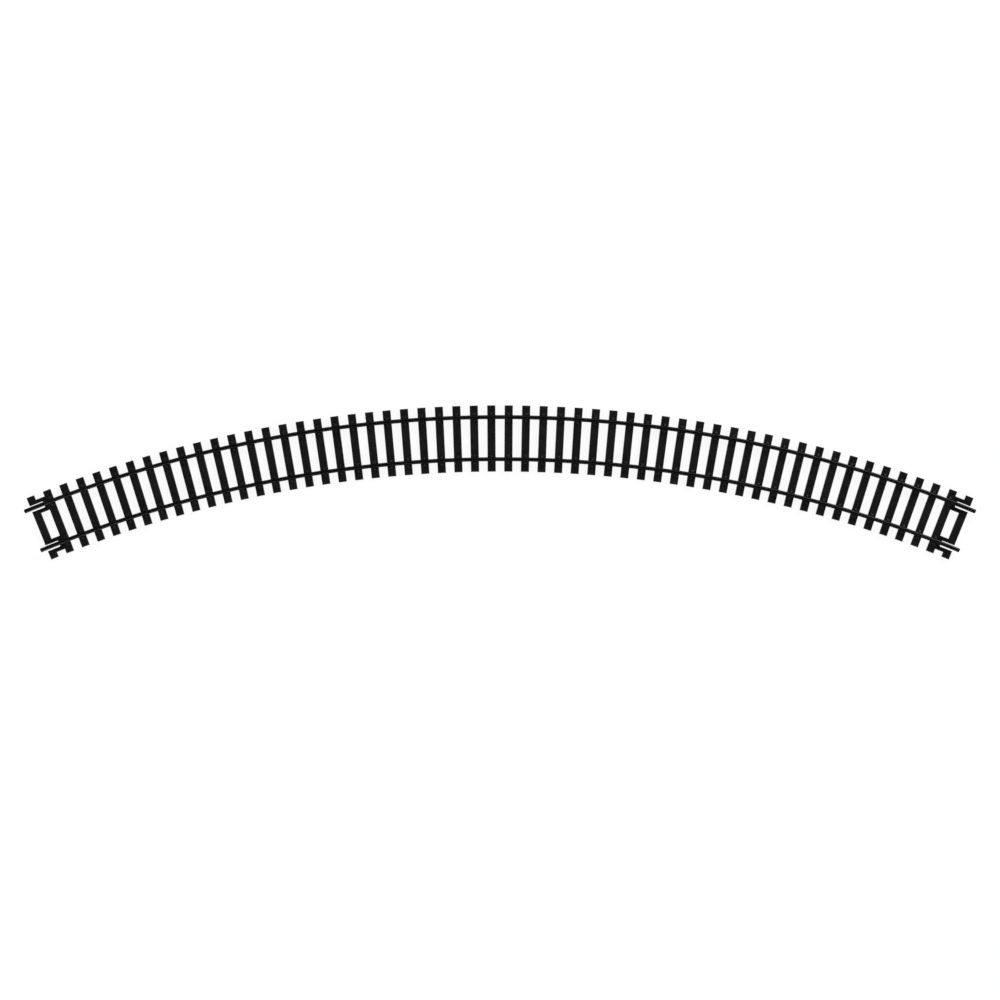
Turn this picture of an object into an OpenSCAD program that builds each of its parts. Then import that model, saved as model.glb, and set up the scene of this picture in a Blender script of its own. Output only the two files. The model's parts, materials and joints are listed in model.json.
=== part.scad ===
// Curved model track section: two rails held on a one-piece moulded sleeper base.
// Millimetres, +Z up. The curve bulges towards +Y and its two ends point towards -X and +X.
// The origin is under the middle of the bounding box, on the surface that the sleepers lie on.

/* [Curve] */
// Radius of the line midway between the rails
track_r = 505; // [430:1:600]
// Angle that the section turns through, from rail end to rail end
sweep = 45; // [40:0.5:50]

/* [Rails] */
// Clear distance between the two rail heads
gauge = 16.5; // [16.2:0.1:16.8]
// Height of a rail from the underside of its foot to its running surface
rail_h = 2.54; // [2.3:0.01:2.6]
// Width of the rail head
head_w = 0.9; // [0.8:0.05:1]
// Depth of the rail head
head_h = 0.75; // [0.6:0.05:0.9]
// Rounding of the head's upper corners
head_round = 0.2; // [0.1:0.05:0.3]
// Thickness of the rail web
web_w = 0.45; // [0.35:0.05:0.5]
// Width of the rail foot
foot_w = 1.68; // [1.5:0.02:1.8]
// Thickness of the foot at its edges
foot_edge_h = 0.28; // [0.2:0.02:0.32]
// Height at which the foot's sloping top meets the web
foot_root_h = 0.48; // [0.44:0.02:0.6]
// How far each rail runs on past the end sleeper's outer edge
rail_overhang = 2.65; // [2:0.05:4]

/* [Sleepers] */
// Number of sleepers, the two slotted end ones included
sleeper_count = 56; // [40:2:56]
// Length of a sleeper, across the track
sleeper_l = 27.45; // [26:0.05:30]
// Width of a sleeper at its underside
sleeper_w = 3.42; // [3.2:0.02:3.6]
// Thickness of a sleeper
sleeper_h = 2.1; // [1.8:0.1:2.6]
// How far each side of a sleeper leans in from bottom to top
sleeper_draft = 0.08; // [0:0.02:0.15]
// Bevel along the sleeper's long top edges
sleeper_bevel = 0.12; // [0.05:0.01:0.2]
// How far the sleepers sit towards the inside of the curve, from midway between the rails
base_shift = 0.12; // [0:0.01:0.3]

/* [Tie strips under the rails] */
// Width of the strip that ties neighbouring sleepers together under each rail
tie_w = 1.5; // [1.2:0.05:1.6]
// Height of the strip
tie_h = 1.2; // [0.8:0.1:1.6]

/* [Chairs] */
// Length of a chair along the rail
chair_l = 1.9; // [1.6:0.1:2.2]
// How far a jaw reaches out from the edge of the rail foot
jaw_w = 0.85; // [0.8:0.05:1.1]
// Height of a jaw above the sleeper
jaw_h = 0.5; // [0.45:0.05:0.8]
// Height of the jaw's outer edge
jaw_edge_h = 0.3; // [0.2:0.05:0.4]
// How far the jaw's lip reaches over the rail foot
jaw_grip = 0.2; // [0.1:0.02:0.24]
// Clearance between the jaws and the rail foot
jaw_gap = 0.03; // [0.02:0.01:0.05]

/* [Rail joiner slots] */
// Width of the slot that a rail joiner slides into, under each rail end
slot_w = 2.58; // [2.2:0.02:2.8]
// Rounding of the slot's two inner corners
slot_round = 0.5; // [0.2:0.1:0.8]
// Width of the bar on each side of a slot
slot_bar_w = 1.68; // [1.5:0.01:1.9]
// Solid length between the last whole sleeper and the slot's closed end
block_l = 1.25; // [1.2:0.05:2]
// Thickness of the bars and of the solid length, between the sleepers
pad_h = 1.7; // [1.3:0.1:1.7]

/* [Hidden] */

$fn = 240;
round_steps = 4; // flats along each quarter turn of a rounded profile corner
cut = 1; // how far a cutting solid passes the surface that it cuts

plastic = [0.094, 0.09, 0.098];
dark_metal = [0.13, 0.13, 0.14];

// Degrees of curve for each millimetre of the centreline
deg_per_mm = 180 / (PI * track_r);
end_sleeper_a = sweep / 2 - (rail_overhang + sleeper_w / 2) * deg_per_mm;
pitch_a = 2 * end_sleeper_a / (sleeper_count - 1);
last_whole_a = end_sleeper_a - pitch_a;
pad_w = slot_w + 2 * slot_bar_w;

outer_rail_r = track_r + (gauge + head_w) / 2;
inner_rail_r = track_r - (gauge + head_w) / 2;
rail_radii = [inner_rail_r, outer_rail_r];
base_r = track_r - base_shift;
slot_radii = [inner_rail_r - base_shift, outer_rail_r - base_shift];

// The highest corners are on the middle sleepers, and the lowest are on the end ones
y_high = (base_r + sleeper_l / 2) * cos(pitch_a / 2) + sleeper_w / 2 * sin(pitch_a / 2);
y_low = (base_r - sleeper_l / 2) * cos(end_sleeper_a) - sleeper_w / 2 * sin(end_sleeper_a);
arc_centre_y = -(y_high + y_low) / 2;

// Points of an arc about a centre, from one angle to another
function arc_points(centre, r, from, to) =
    [for (i = [0:round_steps])
        let (a = from + (to - from) * i / round_steps)
        centre + r * [cos(a), sin(a)]];

// An outline of a symmetric shape, from the points of its right half, bottom to top
function both_sides(right) =
    concat(right, [for (i = [len(right) - 1:-1:0]) [-right[i].x, right[i].y]]);

// Height of the foot's sloping top at a distance from the rail's middle
function foot_top(u) =
    foot_edge_h + (foot_w / 2 - u) * (foot_root_h - foot_edge_h) / (foot_w / 2 - web_w);

// Angle of sleeper i along the curve, from its middle
function sleeper_a(i) = i * pitch_a - end_sleeper_a;

// Distance between neighbouring sleepers' middles, in a straight line at radius r
function step_at(r) = 2 * r * sin(pitch_a / 2);

// Places children on the curve: local X runs along the track and local Y points outwards
module on_curve(r, a) {
    translate([0, arc_centre_y, 0]) rotate(-a) translate([0, r, 0]) children();
}

// Sweeps a profile along the curve: its X is the distance outwards from radius r, its Y is height
module along_curve(r, a) {
    translate([0, arc_centre_y, 0])
        rotate(90 - a / 2)
            rotate_extrude(angle = a)
                translate([r, 0]) children();
}

module rail_profile() {
    head_base_h = rail_h - head_h;
    fillet = 0.12;
    polygon(both_sides(concat(
        [
            [foot_w / 2, 0],
            [foot_w / 2, foot_edge_h],
            [web_w, foot_root_h],
            [web_w / 2, foot_root_h + fillet],
            [web_w / 2, head_base_h - fillet],
            [head_w / 2, head_base_h + fillet],
        ],
        arc_points([head_w / 2 - head_round, rail_h - head_round], head_round, 0, 90)
    )));
}

module rail(r) {
    translate([0, 0, sleeper_h]) along_curve(r, sweep) rail_profile();
}

module whole_sleeper() {
    top_w = sleeper_w - 2 * sleeper_draft;
    rotate([90, 0, 0])
        linear_extrude(sleeper_l, center = true)
            polygon(both_sides([
                [sleeper_w / 2, 0],
                [top_w / 2, sleeper_h - sleeper_bevel],
                [top_w / 2 - sleeper_bevel, sleeper_h],
            ]));
}

// Cross-section of the jaw on the outer side of the rail, from the rail's middle outwards
module jaw_profile() {
    inner = foot_w / 2 + jaw_gap;
    lip = foot_w / 2 - jaw_grip;
    outer = foot_w / 2 + jaw_w;
    root = -sleeper_h / 4;
    polygon([
        [inner, root],
        [inner, foot_edge_h + jaw_gap],
        [lip, foot_top(lip) + jaw_gap],
        [lip, jaw_h],
        [inner, jaw_h],
        [outer, jaw_edge_h],
        [outer, root],
    ]);
}

// The pair of jaws that hold one rail down on one sleeper
module chair() {
    translate([0, 0, sleeper_h])
        for (side = [0, 1])
            mirror([0, side, 0])
                rotate([90, 0, 90])
                    linear_extrude(chair_l, center = true) jaw_profile();
}

// Solid pad from the last whole sleeper's middle to the end sleeper's, for the slot to be cut in
module slot_pad(r) {
    translate([0, -pad_w / 2, 0]) cube([step_at(r), pad_w, pad_h]);
}

// The slot itself, open towards the rail's end, upwards and downwards
module slot_cutter(r) {
    mouth = step_at(r) + sleeper_w / 2;
    slot_l = mouth - sleeper_w / 2 - block_l;
    corner = [slot_w / 2 - slot_round, slot_l - slot_round];
    translate([mouth, 0, -cut])
        rotate(90)
            linear_extrude(sleeper_h + 2 * cut)
                polygon(both_sides(concat(
                    [[slot_w / 2, -cut]],
                    arc_points(corner, slot_round, 0, 90)
                )));
}

// Places children on the last whole sleeper by each rail end, with local X towards that end
module at_rail_ends(r) {
    for (end = [0, 1])
        mirror([end, 0, 0])
            on_curve(r, last_whole_a)
                rotate(-pitch_a / 2) children();
}

// Strip along the baseboard from this sleeper's middle to the next one's, under the rail
module tie_strip(r) {
    rotate(-pitch_a / 2) translate([0, -tie_w / 2, 0]) cube([step_at(r), tie_w, tie_h]);
}

// Whole sleeper i with its two chairs and, up to the last one, the strips to its neighbour
module fitted_sleeper(i) {
    whole_sleeper();
    for (r = rail_radii)
        translate([0, r - base_r, 0]) {
            chair();
            if (i < sleeper_count - 2) tie_strip(r);
        }
}

module sleeper_base() {
    color(plastic)
        difference() {
            union() {
                for (i = [1:sleeper_count - 2]) on_curve(base_r, sleeper_a(i)) fitted_sleeper(i);
                for (i = [0, sleeper_count - 1]) on_curve(base_r, sleeper_a(i)) whole_sleeper();
                for (r = slot_radii) at_rail_ends(r) slot_pad(r);
            }
            for (r = slot_radii) at_rail_ends(r) slot_cutter(r);
        }
}

module outer_rail() {
    color(dark_metal) rail(outer_rail_r);
}

module inner_rail() {
    color(dark_metal) rail(inner_rail_r);
}

sleeper_base();
outer_rail();
inner_rail();
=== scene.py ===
"""Curved model track section: detailed meshes, materials, light and camera around the CAD frame.

The meshes are built in millimetres, in the CAD's frame, and scaled to metres at the end. Places
on the track are polar: an angle from the middle of the curve, and a distance from the rails'
shared centre. "Along" is along the track, and "across" is away from the centre of the curve.
"""

import json
import math
from collections import namedtuple

import bmesh
import bpy
from mathutils import Matrix, Vector, noise


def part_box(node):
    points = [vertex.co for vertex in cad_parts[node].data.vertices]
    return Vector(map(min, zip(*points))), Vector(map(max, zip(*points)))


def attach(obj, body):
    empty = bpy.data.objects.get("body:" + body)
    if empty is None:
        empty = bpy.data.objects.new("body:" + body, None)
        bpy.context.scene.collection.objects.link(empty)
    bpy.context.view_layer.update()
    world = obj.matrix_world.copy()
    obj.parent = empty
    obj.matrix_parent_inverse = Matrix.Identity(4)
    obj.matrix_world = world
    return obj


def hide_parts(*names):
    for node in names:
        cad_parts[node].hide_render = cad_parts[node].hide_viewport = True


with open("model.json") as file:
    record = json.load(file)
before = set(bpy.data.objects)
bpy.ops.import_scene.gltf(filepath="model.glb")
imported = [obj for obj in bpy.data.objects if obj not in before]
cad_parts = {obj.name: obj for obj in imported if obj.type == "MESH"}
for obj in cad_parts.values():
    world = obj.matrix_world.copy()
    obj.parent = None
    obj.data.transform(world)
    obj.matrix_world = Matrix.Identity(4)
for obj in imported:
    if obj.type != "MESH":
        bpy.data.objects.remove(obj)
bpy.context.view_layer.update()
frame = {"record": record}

MM = 0.001
mounts = {m["name"]: m for m in frame["record"]["mounts"]}

# ---------------------------------------------------------------- places, from the frame

outer_end = mounts["outer_rail_end_right"]
inner_end = mounts["inner_rail_end_right"]
half_sweep = math.atan2(-outer_end["axis"][1], outer_end["axis"][0])
outer_rail_r = outer_end["pos_m"][0] / math.sin(half_sweep) / MM
inner_rail_r = inner_end["pos_m"][0] / math.sin(half_sweep) / MM
centre_y = outer_end["pos_m"][1] / MM - outer_rail_r * math.cos(half_sweep)
track_r = (outer_rail_r + inner_rail_r) / 2
rail_radii = (inner_rail_r, outer_rail_r)

rail_low, rail_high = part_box("outer_rail")
sleeper_h = rail_low.z / MM
rail_h = (rail_high.z - rail_low.z) / MM

# ---------------------------------------------------------------- sizes of the real pieces, mm

SLEEPER_COUNT = 56
SLEEPER_L = 27.45
SLEEPER_W = 3.42
BASE_SHIFT = 0.12  # the moulding sits this far towards the inside of the curve
RAIL_OVERHANG = 2.65  # from the end sleeper's outer edge to the rail's end
SIDE_DRAFT = 0.08  # how far each long side leans in from bottom to top
END_DRAFT = 0.1  # how far each end leans in
TOP_ROUND = 0.14  # rounding of the long top edges

TIE_W = 1.5
TIE_H = 1.2
PAD_H = 1.7
SLOT_W = 2.58
SLOT_BAR_W = 1.68  # the bar on each side of a slot
BLOCK_L = 1.25  # from the last whole sleeper to the slot's closed end
SLOT_ROUND = 0.5  # rounding of the slot's two inner corners

FOOT_W = 1.68
FOOT_EDGE_H = 0.28
FOOT_ROOT_H = 0.48  # where the foot's sloping top meets the web
WEB_W = 0.45
HEAD_W = 0.9
HEAD_H = 0.75
HEAD_ROUND = 0.2

JAW_GAP = 0.03  # between a jaw and the rail foot

end_sleeper_a = half_sweep - (RAIL_OVERHANG + SLEEPER_W / 2) / track_r
pitch_a = 2 * end_sleeper_a / (SLEEPER_COUNT - 1)
base_r = track_r - BASE_SHIFT
last_whole_a = end_sleeper_a - pitch_a

# ---------------------------------------------------------------- mesh helpers

Shell = namedtuple("Shell", "points faces")
WELD_DISTANCE = 0.0005  # points that joins leave closer together than this become one


def loft(rings):
    """A closed shell through rings of the same number of points, with a flat cap on each end.

    Its faces point outwards if the rings run anticlockwise, seen from beyond the last one.
    """
    count = len(rings[0])
    points = [p for ring in rings for p in ring]
    faces = []
    for i in range(len(rings) - 1):
        a, b = i * count, (i + 1) * count
        for j in range(count):
            k = (j + 1) % count
            faces.append((a + j, a + k, b + k, b + j))
    last = (len(rings) - 1) * count
    faces.append(tuple(reversed(range(count))))
    faces.append(tuple(range(last, last + count)))
    return Shell(points, faces)


def on_curve(radius, angle, height):
    """The point at that place on the curve."""
    return (radius * math.sin(angle), centre_y + radius * math.cos(angle), height)


def placed(shell, radius, angle):
    """The shell, with its X along the track and its Y across it, at that place on the curve."""
    turn = Matrix.Rotation(-angle, 4, "Z")
    place = Matrix.Translation((0, centre_y, 0)) @ turn @ Matrix.Translation((0, radius, 0))
    return Shell([place @ Vector(p) for p in shell.points], shell.faces)


def turned(shell, angle):
    """The shell, turned about the vertical."""
    turn = Matrix.Rotation(angle, 4, "Z")
    return Shell([turn @ Vector(p) for p in shell.points], shell.faces)


def mirrored(shell, x_sign, y_sign):
    """The shell's mirror image along the axis whose sign is -1, still facing outwards."""
    points = [Vector((x_sign * p[0], y_sign * p[1], p[2])) for p in shell.points]
    return Shell(points, [tuple(reversed(f)) for f in shell.faces])


def object_from(name, shells):
    """One mesh object, in millimetres, from closed shells that don't touch each other."""
    points, faces = [], []
    for shell in shells:
        start = len(points)
        points += [tuple(p) for p in shell.points]
        faces += [tuple(start + i for i in f) for f in shell.faces]
    mesh = bpy.data.meshes.new(name)
    mesh.from_pydata(points, [], faces)
    mesh.validate()
    piece = bpy.data.objects.new(name, mesh)
    bpy.context.scene.collection.objects.link(piece)
    return piece


def combined(piece, other, operation):
    """Joins other to piece, or cuts it away, and removes other."""
    change = piece.modifiers.new("change", "BOOLEAN")
    change.solver = "MANIFOLD"
    change.operation = operation
    change.object = other
    bake_modifiers(piece)
    bpy.data.objects.remove(other)


def bake_modifiers(piece):
    """Gives the piece the mesh that its modifiers make, and removes them."""
    view = bpy.context.evaluated_depsgraph_get()
    made = bpy.data.meshes.new_from_object(piece.evaluated_get(view))
    piece.modifiers.clear()
    old = piece.data
    piece.data = made
    bpy.data.meshes.remove(old)


def clean(piece):
    """Takes out the spare points that joins leave: doubled ones, and those with two edges."""
    mesh = bmesh.new()
    mesh.from_mesh(piece.data)
    bmesh.ops.remove_doubles(mesh, verts=mesh.verts, dist=WELD_DISTANCE)
    spare = [v for v in mesh.verts if len(v.link_edges) == 2]
    bmesh.ops.dissolve_verts(mesh, verts=spare)
    mesh.to_mesh(piece.data)
    mesh.free()


def finished(piece, material, crease_deg, node):
    """Shades the piece, smooth up to that angle, and makes it stand for its CAD node, in metres."""
    piece.data.materials.clear()
    piece.data.materials.append(material)
    piece.data.shade_smooth()
    piece.data.set_sharp_from_angle(angle=math.radians(crease_deg))
    even = piece.modifiers.new("even", "WEIGHTED_NORMAL")
    even.mode = "FACE_AREA"
    even.keep_sharp = True
    bake_modifiers(piece)
    piece.data.transform(Matrix.Scale(MM, 4))
    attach(piece, "root")
    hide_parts(node)
    return piece


def arc_points(centre, radius, start_deg, end_deg, steps):
    """Points of an arc in the plane, both ends included."""
    points = []
    for i in range(steps + 1):
        a = math.radians(start_deg + (end_deg - start_deg) * i / steps)
        points.append((centre[0] + radius * math.cos(a), centre[1] + radius * math.sin(a)))
    return points


def both_sides(right):
    """A symmetric outline from its right half, bottom to top."""
    return right + [(-x, y) for x, y in reversed(right)]


# ---------------------------------------------------------------- sleepers

TOP_STEPS = 17  # columns of points across a sleeper's top
STATIONS = 34  # cross-sections along a sleeper
END_ROUND = 0.12
GRAIN_DEPTH = 0.07
END_GRAIN = 0.4  # share of the grain's depth that is left on the rounded ends
SEED_STEP = 3.71  # how far apart two neighbours' patterns are in the noise


def sleeper_outline():
    """The cross-section as (x, z, outward x, outward z), from the bottom right round the top."""
    half, top_half = SLEEPER_W / 2, SLEEPER_W / 2 - SIDE_DRAFT
    side_top = sleeper_h - TOP_ROUND
    right = [(half, 0.0, 0.0, 0.0)]
    for share in (0.3, 0.65):
        right.append((half - SIDE_DRAFT * share, side_top * share, 1.0, 0.0))
    centre = (top_half - TOP_ROUND, side_top)
    for x, z in arc_points(centre, TOP_ROUND, 0, 90, 3):
        right.append((x, z, (x - centre[0]) / TOP_ROUND, (z - centre[1]) / TOP_ROUND))
    span = right[-1][0]
    top = [(span * (1 - 2 * i / TOP_STEPS), sleeper_h, 0.0, 1.0) for i in range(1, TOP_STEPS)]
    left = [(-x, z, -nx, nz) for x, z, nx, nz in reversed(right)]
    return right + top + left


def grain(x, y, z, seed):
    """How deep the moulded wood grain is at a point of a sleeper, from 0 to 1."""
    groove_rate = 9.5  # radians for each mm, so that the grooves are about 0.7 mm apart
    drift = noise.noise(Vector((x * 0.5, y * 0.1, seed))) * 0.9
    fine = noise.noise(Vector((x * 2.6 + z * 2.6, y * 0.16 + drift, seed + 7.3)))
    stripes = math.sin((x + z) * groove_rate + drift * 5 + fine * 3.5)
    groove = max(0.0, stripes) ** 2
    strength = 0.55 + 0.45 * noise.noise(Vector((x * 1.3, y * 0.22, seed + 31.7)))
    return min(1.0, groove * strength + 0.15 * abs(fine))


def sleeper(seed):
    """One sleeper with grain in its top and sides. Its underside is flat."""
    outline = sleeper_outline()
    half = SLEEPER_L / 2
    # Each station is a place along the sleeper, and how far the outline is drawn in there
    part = 0.3 * END_ROUND
    ends = [(-half, END_ROUND), (-half + part, part), (-half + END_ROUND, 0.0)]
    inner = [(half - END_ROUND) * (2 * i / STATIONS - 1) for i in range(1, STATIONS)]
    stations = ends + [(y, 0.0) for y in inner] + [(-y, shrink) for y, shrink in reversed(ends)]
    rings = []
    for y, shrink in reversed(stations):
        ring = []
        for x, z, out_x, out_z in outline:
            strength = 1 if shrink == 0 else END_GRAIN
            depth = shrink + GRAIN_DEPTH * grain(x, y, z, seed) * strength
            height = z - out_z * depth
            reach = 1 - END_DRAFT * height / sleeper_h / half
            ring.append((x - out_x * depth, y * reach, height))
        rings.append(ring)
    return loft(rings)


def sleeper_angle(i):
    """Where sleeper i is on the curve, counted from the left end."""
    return i * pitch_a - end_sleeper_a


def all_sleepers():
    """Every sleeper in its place, each with its own grain."""
    shells = []
    for i in range(SLEEPER_COUNT):
        shells.append(placed(sleeper(i * SEED_STEP), base_r, sleeper_angle(i)))
    return shells


# ---------------------------------------------------------------- tie strips and slotted pads


def tie_strip(radius):
    """The strip under one rail that ties the whole sleepers together."""
    draft, bevel = 0.05, 0.1
    low, high = TIE_W / 2, TIE_W / 2 - draft
    outline = both_sides([(low, 0.0), (high, TIE_H - bevel), (high - bevel, TIE_H)])
    steps = 2 * (SLEEPER_COUNT - 3)
    rings = []
    for i in range(steps + 1):
        a = last_whole_a * (2 * i / steps - 1)
        rings.append([on_curve(radius + across, a, z) for across, z in outline])
    return loft(rings)


def step_at(radius):
    """The straight distance between neighbouring sleepers' middles at that radius."""
    return 2 * radius * math.sin(pitch_a / 2)


def slot_pad(radius):
    """The solid pad by one rail end, from the last whole sleeper's middle to the end one's."""
    draft, bevel = 0.04, 0.12
    low = SLOT_W / 2 + SLOT_BAR_W
    high = low - draft
    outline = both_sides([(low, 0.0), (high, PAD_H - bevel), (high - bevel, PAD_H)])
    rings = [[(x, y, z) for y, z in outline] for x in (0.0, step_at(radius))]
    return loft(rings)


def slot_cutter(radius):
    """What the rail joiner slot takes away, open towards the rail's end."""
    past = 1.0
    mouth = step_at(radius) + SLEEPER_W / 2
    closed = SLEEPER_W / 2 + BLOCK_L
    half = SLOT_W / 2
    corner = arc_points((closed + SLOT_ROUND, half - SLOT_ROUND), SLOT_ROUND, 90, 180, 6)
    upper = [(mouth + past, half)] + corner
    outline = upper + [(x, -y) for x, y in reversed(upper)]
    rings = [[(x, y, z) for x, y in outline] for z in (-past, sleeper_h + past)]
    return loft(rings)


def at_rail_ends(make):
    """What make builds for a radius, at both ends of each rail and facing outwards there."""
    shells = []
    for rail_r in rail_radii:
        radius = rail_r - BASE_SHIFT
        right = placed(turned(make(radius), -pitch_a / 2), radius, last_whole_a)
        shells += [right, mirrored(right, -1, 1)]
    return shells


# ---------------------------------------------------------------- chairs

SUNK = 0.3  # how far a fitting reaches down into the sleeper that it is joined to
PLATE_HALF_L = 1.12
PLATE_HALF_W = 2.1
PLATE_RISE = 0.16
JAW_HALF_L = 0.52
JAW_H = 0.5
JAW_GRIP = 0.18  # how far the lip reaches over the rail foot
BOLT_R = 0.24
BOLT_H = 0.16
BOLT_TURN_DEG = 15
BOLT_ALONG = 0.76
BOLT_ACROSS = 1.5


def seat_plate():
    """The plate under one rail: flat below the foot, raised on both sides, rounded outside."""
    edge = FOOT_W / 2 + JAW_GAP
    bevel = 0.07
    outline = both_sides([
        (PLATE_HALF_W, -SUNK),
        (PLATE_HALF_W, PLATE_RISE - bevel),
        (PLATE_HALF_W - bevel, PLATE_RISE),
        (edge + 0.03, PLATE_RISE),
        (edge, 0.0),
    ])
    full = 1 - bevel / PLATE_HALF_L
    rings = []
    for share, drop in ((-1, bevel), (-full, 0), (full, 0), (1, bevel)):
        # Only what stands above the sleeper is lowered at the plate's two ends
        lowered = [(y, z - drop if z > 0 else z) for y, z in outline]
        rings.append([(share * PLATE_HALF_L, y, sleeper_h + z) for y, z in lowered])
    return loft(rings)


def foot_top(across):
    """Height of the rail foot's sloping top at a distance from the rail's middle."""
    slope = (FOOT_ROOT_H - FOOT_EDGE_H) / (FOOT_W / 2 - WEB_W)
    return FOOT_EDGE_H + (FOOT_W / 2 - across) * slope


def jaw():
    """A moulded jaw that grips the rail foot's edge, drawn in at both ends but for its grip."""
    edge = FOOT_W / 2 + JAW_GAP
    lip = FOOT_W / 2 - JAW_GRIP
    tip = foot_top(lip) + JAW_GAP
    outline = [
        (edge, -SUNK),
        (edge + 0.87, -SUNK),
        (edge + 0.85, 0.24),
        (edge + 0.75, 0.33),
        (edge + 0.2, JAW_H - 0.03),
        (edge + 0.02, JAW_H),
        (lip + 0.04, JAW_H - 0.01),
        (lip, JAW_H - 0.04),
        (lip, tip),
        (edge, FOOT_EDGE_H + JAW_GAP),
    ]
    inside = Vector((edge + 0.25, 0.2))  # what the two ends are drawn in towards
    full, shrunk = 0.82, 0.12
    rings = []
    for share, shrink in ((-1, shrunk), (-full, 0.0), (full, 0.0), (1, shrunk)):
        ring = []
        for y, z in outline:
            p = Vector((y, z))
            if y > edge or z > tip:
                p = p.lerp(inside, shrink)
            ring.append((share * JAW_HALF_L, p.x, sleeper_h + p.y))
        rings.append(ring)
    return loft(rings)


def bolt(along):
    """A six-sided bolt head with a bevelled top, sunk into the plate."""
    low, top, bevel = 0.05, PLATE_RISE + BOLT_H, 0.06
    rings = []
    for z, radius in ((low, BOLT_R), (top - bevel, BOLT_R), (top, BOLT_R - bevel)):
        ring = []
        for i in range(6):
            a = math.radians(60 * i + BOLT_TURN_DEG)
            x, y = along + radius * math.cos(a), BOLT_ACROSS + radius * math.sin(a)
            ring.append((x, y, sleeper_h + z))
        rings.append(ring)
    return loft(rings)


def both_rail_sides(shell):
    """The same fitting on each side of its rail."""
    return [shell, mirrored(shell, 1, -1)]


def on_each_chair(shells):
    """Copies of the shells at each place where a whole sleeper crosses a rail."""
    made = []
    for i in range(1, SLEEPER_COUNT - 1):
        for radius in rail_radii:
            made += [placed(shell, radius, sleeper_angle(i)) for shell in shells]
    return made


# ---------------------------------------------------------------- sleeper base

BASE_CREASE_DEG = 38


def make_base(material):
    """The whole sleeper moulding, joined into one mesh."""
    base = object_from("sleeper_base_moulding", all_sleepers())
    bolts = both_rail_sides(bolt(-BOLT_ALONG)) + both_rail_sides(bolt(BOLT_ALONG))
    base_parts = [
        ("ties", [tie_strip(r) for r in rail_radii]),
        ("pads", at_rail_ends(slot_pad)),
        ("plates", on_each_chair([seat_plate()])),
        ("jaws", on_each_chair(both_rail_sides(jaw()))),
        ("bolts", on_each_chair(bolts)),
    ]
    for name, shells in base_parts:
        combined(base, object_from(name, shells), "UNION")
    combined(base, object_from("slots", at_rail_ends(slot_cutter)), "DIFFERENCE")
    clean(base)
    return finished(base, material, BASE_CREASE_DEG, "sleeper_base")


# ---------------------------------------------------------------- rails

RAIL_STEPS = 180
RAIL_CREASE_DEG = 32
WEB_FILLET = 0.2
NECK_FILLET = 0.1
CROWN = 0.02  # how far the running surface rises from its edges to its middle
END_BEVEL = 0.04
END_SHARE = 0.96  # share of its size that the profile has at the rail's very end


def rail_outline():
    """The rail's cross-section: foot, web and head, with rounded corners."""
    foot, web, head = FOOT_W / 2, WEB_W / 2, HEAD_W / 2
    head_low = rail_h - HEAD_H
    shoulder = foot - 0.05
    right = [(foot - 0.04, 0.0), (foot, 0.05), (foot, FOOT_EDGE_H - 0.06)]
    right += [(shoulder, foot_top(shoulder))]
    root = (web + WEB_FILLET, foot_top(WEB_W) + WEB_FILLET + 0.05)
    right += arc_points(root, WEB_FILLET, 235, 180, 4)
    neck = (web + NECK_FILLET, head_low - 0.06)
    right += arc_points(neck, NECK_FILLET, 180, 110, 3)
    right += [(head - 0.03, head_low + 0.1), (head, head_low + 0.16)]
    corner = (head - HEAD_ROUND, rail_h - CROWN - HEAD_ROUND)
    right += arc_points(corner, HEAD_ROUND, 0, 78, 6)
    right += [(0.12, rail_h - 0.1 * CROWN)]
    return both_sides(right)


def make_rail(name, radius, node, material):
    """One rail, its profile swept along the curve, with a small bevel round each end."""
    outline = rail_outline()
    middle = rail_h / 2
    bevel_a = END_BEVEL / radius
    stations = [(-half_sweep, END_SHARE), (-half_sweep + bevel_a, 1.0)]
    stations += [(half_sweep * (2 * i / RAIL_STEPS - 1), 1.0) for i in range(1, RAIL_STEPS)]
    stations += [(half_sweep - bevel_a, 1.0), (half_sweep, END_SHARE)]
    rings = []
    for a, share in stations:
        ring = []
        for across, z in outline:
            height = sleeper_h + middle + (z - middle) * share
            ring.append(on_curve(radius + across * share, a, height))
        rings.append(ring)
    rail = object_from(name, [loft(rings)])
    return finished(rail, material, RAIL_CREASE_DEG, node)


# ---------------------------------------------------------------- materials


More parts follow.
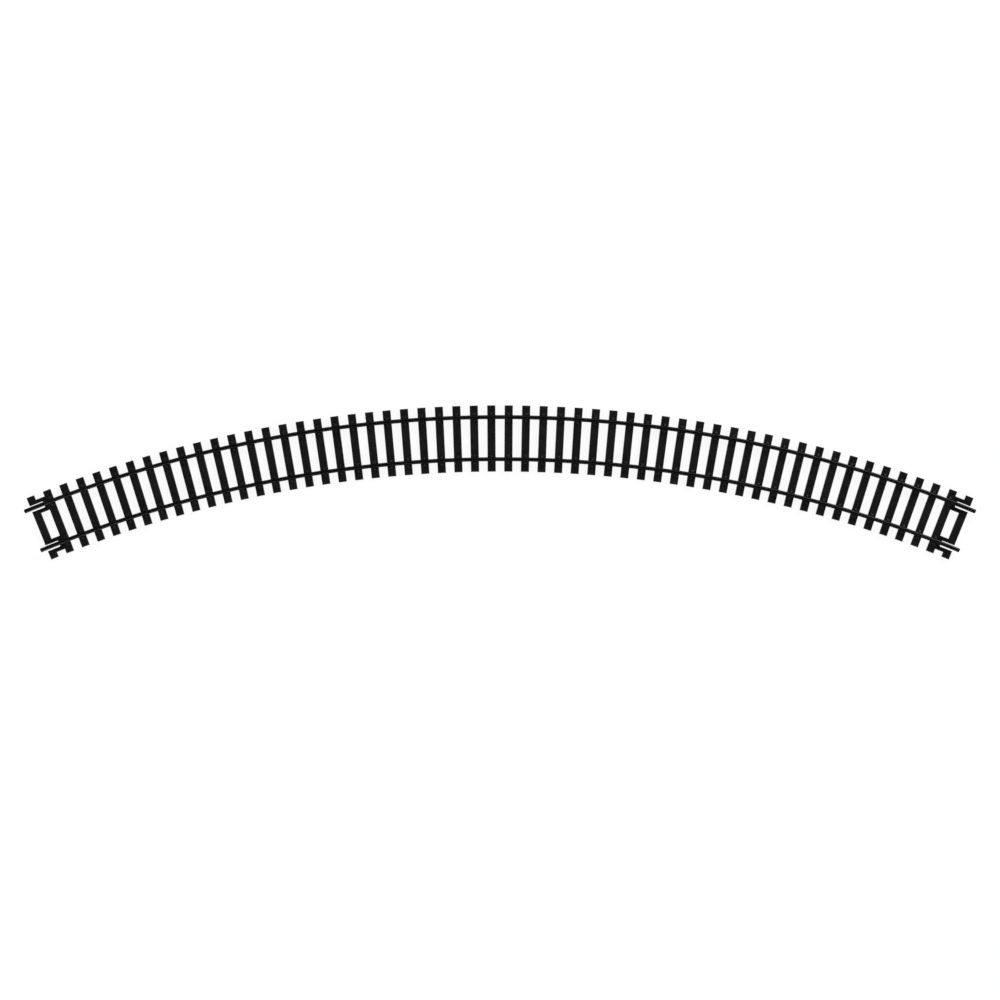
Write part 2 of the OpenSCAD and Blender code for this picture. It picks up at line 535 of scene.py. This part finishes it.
class Shader:
    """A new material and short ways to add and join its nodes."""

    def __init__(self, name):
        self.material = bpy.data.materials.new(name)
        self.material.use_nodes = True
        self.tree = self.material.node_tree
        self.surface = self.tree.nodes["Principled BSDF"]

    def feed(self, socket, value):
        """Links another node's output to the socket, or sets the socket to a plain value."""
        if isinstance(value, bpy.types.NodeSocket):
            self.tree.links.new(value, socket)
        else:
            socket.default_value = value

    def node(self, kind, inputs=(), **settings):
        """A new node with those settings and inputs."""
        made = self.tree.nodes.new(kind)
        for key, value in settings.items():
            setattr(made, key, value)
        for key, value in dict(inputs).items():
            self.feed(made.inputs[key], value)
        return made

    def math(self, operation, a, b=0.0):
        return self.node("ShaderNodeMath", {0: a, 1: b}, operation=operation).outputs[0]

    def weighted(self, a, share_a, b, share_b):
        """share_a of a and share_b of b, added up."""
        part_a = self.math("MULTIPLY", a, share_a)
        part_b = self.math("MULTIPLY", b, share_b)
        return self.math("ADD", part_a, part_b)

    def noise(self, vector, scale, detail=2.0, roughness=0.5):
        inputs = {"Vector": vector, "Scale": scale, "Detail": detail, "Roughness": roughness}
        return self.node("ShaderNodeTexNoise", inputs).outputs["Fac"]

    def ramp(self, value, low, high, to_low=0.0, to_high=1.0):
        """value, spread from low..high to to_low..to_high and kept inside them."""
        inputs = {0: value, 1: low, 2: high, 3: to_low, 4: to_high}
        return self.node("ShaderNodeMapRange", inputs).outputs[0]

    def vector(self, x, y, z):
        return self.node("ShaderNodeCombineXYZ", {0: x, 1: y, 2: z}).outputs[0]

    def mix_color(self, share, a, b):
        """Colour a where share is 0, colour b where it is 1, and between them a mix."""
        return self.node("ShaderNodeMix", {0: share, 6: a, 7: b}, data_type="RGBA").outputs[2]

    def bump(self, height, strength, distance_mm, normal=None):
        """A bumped normal, on top of another one if it is given."""
        inputs = {"Height": height, "Strength": strength, "Distance": distance_mm * MM}
        if normal is not None:
            inputs["Normal"] = normal
        return self.node("ShaderNodeBump", inputs).outputs[0]

    def set(self, **values):
        """Feeds the surface's inputs by name, with _ for each space."""
        for key, value in values.items():
            self.feed(self.surface.inputs[key.replace("_", " ")], value)


def track_place(shader):
    """Where a point is on the track: along it, across it from its middle, and height, in mm."""
    place = shader.node("ShaderNodeTexCoord").outputs["Object"]
    split = shader.node("ShaderNodeSeparateXYZ", {0: place})
    x, y, z = split.outputs
    north = shader.math("SUBTRACT", y, centre_y * MM)
    angle = shader.math("ARCTAN2", x, north)
    x_squared = shader.math("MULTIPLY", x, x)
    north_squared = shader.math("MULTIPLY", north, north)
    squares = shader.math("ADD", x_squared, north_squared)
    along = shader.math("MULTIPLY", angle, track_r)
    distance = shader.math("MULTIPLY", shader.math("SQRT", squares), 1 / MM)
    across = shader.math("SUBTRACT", distance, track_r)
    return along, across, shader.math("MULTIPLY", z, 1 / MM)


def plastic_material():
    """Satin black plastic: wood fibres along each sleeper, a fine skin and small tone shifts."""
    s = Shader("black_plastic")
    along, across, height = track_place(s)
    number = s.math("FLOOR", s.math("DIVIDE", along, pitch_a * track_r))
    own = s.node("ShaderNodeTexWhiteNoise", {"W": number}, noise_dimensions="1D").outputs["Value"]
    shift = s.math("MULTIPLY", own, 40.0)
    fibre_place = s.vector(s.math("MULTIPLY", along, 7.0), s.math("ADD", across, shift), height)
    fibres = s.noise(fibre_place, 1.0, 4.0, 0.62)
    skin = s.noise(s.vector(along, across, height), 9.0, 3.0, 0.6)
    patches = s.noise(s.vector(along, across, height), 0.35, 2.0, 0.5)
    tone = s.weighted(own, 0.4, patches, 0.6)
    grained = s.weighted(tone, 0.7, fibres, 0.3)
    dark = (0.0030, 0.0028, 0.0040, 1)
    light = (0.0064, 0.0061, 0.0084, 1)
    color = s.mix_color(s.ramp(grained, 0.3, 0.75), dark, light)
    fibre_rough = s.ramp(fibres, 0.3, 0.7, 0.36, 0.48)
    patch_rough = s.ramp(patches, 0.3, 0.7, -0.03, 0.05)
    rough = s.math("ADD", fibre_rough, patch_rough)
    fibre_bump = s.bump(fibres, 0.5, 0.05)
    normal = s.bump(skin, 0.35, 0.02, fibre_bump)
    s.set(Base_Color=color, Roughness=rough, Normal=normal, Specular_IOR_Level=0.35)
    return s.material


def rail_material():
    """Blackened drawn rail: faint drawing lines, painted shade on the foot and head, smoothest on
    the head.
    """
    s = Shader("dark_rail")
    along, across, height = track_place(s)
    stretch_along, stretch_across = 0.06, 14.0
    line_x = s.math("MULTIPLY", along, stretch_along)
    line_y = s.math("MULTIPLY", across, stretch_across)
    line_z = s.math("MULTIPLY", height, stretch_across)
    lines = s.noise(s.vector(line_x, line_y, line_z), 1.0, 3.0, 0.6)
    patches = s.noise(s.vector(along, across, height), 0.5, 3.0, 0.55)
    foot_z, head_z = sleeper_h + FOOT_ROOT_H, sleeper_h + rail_h
    web = s.ramp(height, foot_z, foot_z + 0.25)
    top = s.ramp(height, head_z - 0.4, head_z - 0.25)
    tone = s.ramp(s.weighted(patches, 0.5, lines, 0.5), 0.3, 0.7)
    # Painted shade: the foot is coloured darker than the web, to damp the lights' reflections in
    # its sloping top
    foot_tone_with_painted_shade = s.mix_color(tone, (0.0100, 0.0095, 0.0115, 1), (0.0220, 0.0212, 0.0245, 1))
    web_color = s.mix_color(tone, (0.0380, 0.0370, 0.0400, 1), (0.0620, 0.0605, 0.0650, 1))
    # Painted shade: the head's even dark colour damps the suns' glints on its rounded corners
    head_painted_shade_color = (0.0280, 0.0272, 0.0300, 1)
    color = s.mix_color(top, s.mix_color(web, foot_tone_with_painted_shade, web_color), head_painted_shade_color)
    dull = s.ramp(patches, 0.3, 0.7, 0.26, 0.4)
    rough = s.math("SUBTRACT", dull, s.math("MULTIPLY", top, 0.06))
    normal = s.bump(lines, 0.3, 0.02)
    s.set(Base_Color=color, Roughness=rough, Normal=normal, Metallic=1.0)
    return s.material


def floor_material():
    """A white light table: mostly its own glow, with a matt surface that still takes shadows."""
    s = Shader("light_table")
    s.set(Base_Color=(0.12, 0.12, 0.12, 1), Roughness=0.9, Specular_IOR_Level=0.0)
    s.set(Emission_Color=(1, 1, 1, 1), Emission_Strength=0.92)
    return s.material


# ---------------------------------------------------------------- scene


def make_floor():
    """A large square, in metres, just below the sleepers so that no two faces share a plane."""
    half = 8.0
    drop = 0.05 * MM
    corners = [(x * half, y * half, -drop) for x, y in ((-1, -1), (1, -1), (1, 1), (-1, 1))]
    mesh = bpy.data.meshes.new("floor")
    mesh.from_pydata(corners, [], [(0, 1, 2, 3)])
    mesh.materials.append(floor_material())
    floor = bpy.data.objects.new("floor", mesh)
    bpy.context.scene.collection.objects.link(floor)


def make_sun(name, azimuth_deg, elevation_deg, strength):
    """Broad, soft light from one side. Azimuth 0 is the front (-Y), and 90 the right (+X)."""
    light = bpy.data.lights.new(name, "SUN")
    light.energy = strength
    light.angle = math.radians(25)
    lamp = bpy.data.objects.new(name, light)
    bpy.context.scene.collection.objects.link(lamp)
    tilt = math.radians(90 - elevation_deg)
    lamp.rotation_euler = (tilt, 0, math.radians(azimuth_deg))


def make_sky():
    """White round the horizon and dark overhead, like a studio with a black ceiling."""
    world = bpy.data.worlds.new("studio")
    bpy.context.scene.world = world
    world.use_nodes = True
    nodes, links = world.node_tree.nodes, world.node_tree.links
    place = nodes.new("ShaderNodeTexCoord")
    split = nodes.new("ShaderNodeSeparateXYZ")
    fade = nodes.new("ShaderNodeValToRGB")
    links.new(place.outputs["Generated"], split.inputs[0])
    links.new(split.outputs["Z"], fade.inputs[0])
    links.new(fade.outputs[0], nodes["Background"].inputs["Color"])
    first, last = fade.color_ramp.elements
    first.position, first.color = 0.1, (1, 1, 1, 1)
    last.position, last.color = 0.75, (0.04, 0.04, 0.04, 1)
    nodes["Background"].inputs["Strength"].default_value = 1.0


def make_camera():
    """Straight above, with a long lens, and the track's convex side up in the picture."""
    sensor_mm = 36.0
    distance = 4.0
    frame_width = 0.41367  # metres of floor across the picture
    aim_y = -0.00724
    camera = bpy.data.cameras.new("camera")
    camera.sensor_width = sensor_mm
    camera.lens = sensor_mm * distance / frame_width
    camera.clip_start = 0.05
    camera.clip_end = 50
    holder = bpy.data.objects.new("camera", camera)
    bpy.context.scene.collection.objects.link(holder)
    holder.location = (0, aim_y, distance)
    bpy.context.scene.camera = holder


make_camera()
make_floor()
make_sun("key", azimuth_deg=150, elevation_deg=38, strength=1.4)
make_sun("fill_left", azimuth_deg=270, elevation_deg=34, strength=0.8)
make_sun("fill_right", azimuth_deg=30, elevation_deg=34, strength=0.8)
make_sky()
bpy.context.scene.view_settings.view_transform = "Standard"

plastic = plastic_material()
dark_metal = rail_material()
make_base(plastic)
make_rail("outer_rail_drawn", outer_rail_r, "outer_rail", dark_metal)
make_rail("inner_rail_drawn", inner_rail_r, "inner_rail", dark_metal)
